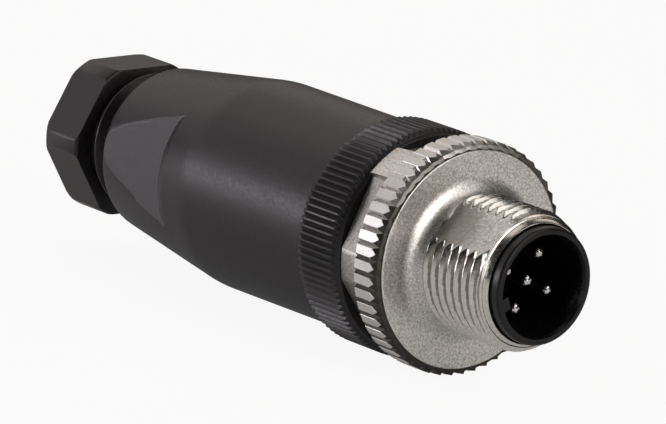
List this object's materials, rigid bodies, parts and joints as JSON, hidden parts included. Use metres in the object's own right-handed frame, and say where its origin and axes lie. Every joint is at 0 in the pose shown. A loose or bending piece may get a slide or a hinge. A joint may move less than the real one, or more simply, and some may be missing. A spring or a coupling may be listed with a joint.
{
  "type": "m12 male cable connector",
  "caption": "Straight M12 male cable connector with a keyed pin insert, a knurled metal coupling ring, a tapered plastic backshell and a hexagonal cable gland.",
  "frame": {"origin": "on the axis, where the full coupling thread begins behind its lead", "axes": "+X along the axis towards the mating end; +Z is the normal of the pressing screw's upper flat; +Y completes the right-handed frame"},
  "size_m": [0.0599, 0.0198, 0.0198],
  "materials": {
    "deep_black_plastic": "moulded black plastic, satin",
    "black_plastic": "black glass-filled plastic, fine moulded surface",
    "nickel_plate": "nickel plating over a zinc die casting, matt on the disc",
    "contact_metal": "turned brass with a bright plating",
    "screw_steel": "zinc-plated steel",
    "black_rubber": "black rubber",
    "grey_rubber": "dark grey rubber"
  },
  "bodies": {
    "insert_unit": {"contact_insert": "deep_black_plastic", "contact_1": "contact_metal", "contact_2": "contact_metal", "contact_3": "contact_metal", "contact_4": "contact_metal", "contact_5": "contact_metal", "terminal_screw_1": "screw_steel", "terminal_screw_2": "screw_steel", "terminal_screw_3": "screw_steel", "terminal_screw_4": "screw_steel", "terminal_screw_5": "screw_steel", "insert_seal": "black_rubber", "grip_ring": "black_plastic", "neck_seal": "black_rubber"},
    "coupling": {"coupling_ring": "nickel_plate"},
    "seal": {"cable_seal": "grey_rubber"},
    "shell": {"backshell": "black_plastic"},
    "cage": {"clamping_cage": "black_plastic"},
    "gland": {"pressing_screw": "black_plastic"}
  },
  "joints": [
    {"name": "coupling_turn", "type": "hinge", "parent": "insert_unit", "child": "coupling", "pos_m": [0, 0, 0], "axis": [1, 0, 0], "continuous": true},
    {"name": "shell_travel", "type": "slide", "parent": "insert_unit", "child": "seal", "axis": [1, 0, 0], "range_m": [-0.005, 0]},
    {"name": "shell_turn", "type": "hinge", "parent": "seal", "child": "shell", "pos_m": [0, 0, 0], "axis": [1, 0, 0], "range_deg": [-1805, 0]},
    {"name": "gland_travel", "type": "slide", "parent": "shell", "child": "cage", "axis": [1, 0, 0], "range_m": [-0.002, 0.0035]},
    {"name": "gland_turn", "type": "hinge", "parent": "cage", "child": "gland", "pos_m": [0, 0, 0], "axis": [1, 0, 0], "range_deg": [-485, 845]}
  ],
  "couplings": [
    {"joint": "shell_turn", "follows": "shell_travel", "rad_per_m": 6283.2},
    {"joint": "gland_turn", "follows": "gland_travel", "rad_per_m": 4188.8}
  ]
}
